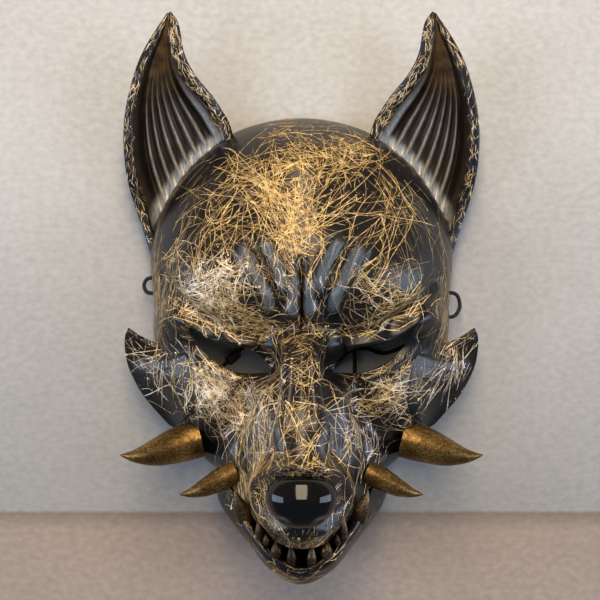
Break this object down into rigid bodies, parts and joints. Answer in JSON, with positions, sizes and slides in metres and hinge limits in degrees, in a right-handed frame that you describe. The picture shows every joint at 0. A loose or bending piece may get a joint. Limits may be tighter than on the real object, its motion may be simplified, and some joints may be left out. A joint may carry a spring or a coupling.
{
  "type": "demon fox mask",
  "caption": "Full-face fox mask: a hollow domed shell with tall fluted ears, hooked cheek fins, muzzle with nose, tusks, toothed lower jaw and an elastic cord.",
  "frame": {"origin": "on the plane of the back rim, under the middle of the mask's box without the cord", "axes": "+Z out of the face, +Y from the chin to the ear tips, +X to the viewer's right as one looks at the face"},
  "size_m": [0.2282, 0.3556, 0.133],
  "materials": {
    "satin_black_paint": "satin black with gold drizzle",
    "bronze_paint": "rubbed antique bronze paint",
    "brown_ear_paint": "dark brown with silver ridges and a navy rim",
    "tooth_paint": "olive bronze",
    "gloss_black": "gloss black lacquer",
    "black_elastic": "braided matte black elastic",
    "lock_plastic": "matte black"
  },
  "bodies": {
    "root": {"face_shell": "satin_black_paint", "lower_jaw": "satin_black_paint", "ear_left": "brown_ear_paint", "ear_right": "brown_ear_paint", "nose_pad": "gloss_black", "upper_tusk_left": "bronze_paint", "upper_tusk_right": "bronze_paint", "lower_tusk_left": "bronze_paint", "lower_tusk_right": "bronze_paint", "jaw_fang_left": "tooth_paint", "jaw_fang_right": "tooth_paint", "jaw_tooth_left_1": "tooth_paint", "jaw_tooth_left_2": "tooth_paint", "jaw_tooth_left_3": "tooth_paint", "jaw_tooth_left_4": "tooth_paint", "jaw_tooth_right_1": "tooth_paint", "jaw_tooth_right_2": "tooth_paint", "jaw_tooth_right_3": "tooth_paint", "jaw_tooth_right_4": "tooth_paint", "elastic_cord": "black_elastic", "cord_lock": "lock_plastic"}
  },
  "joints": []
}
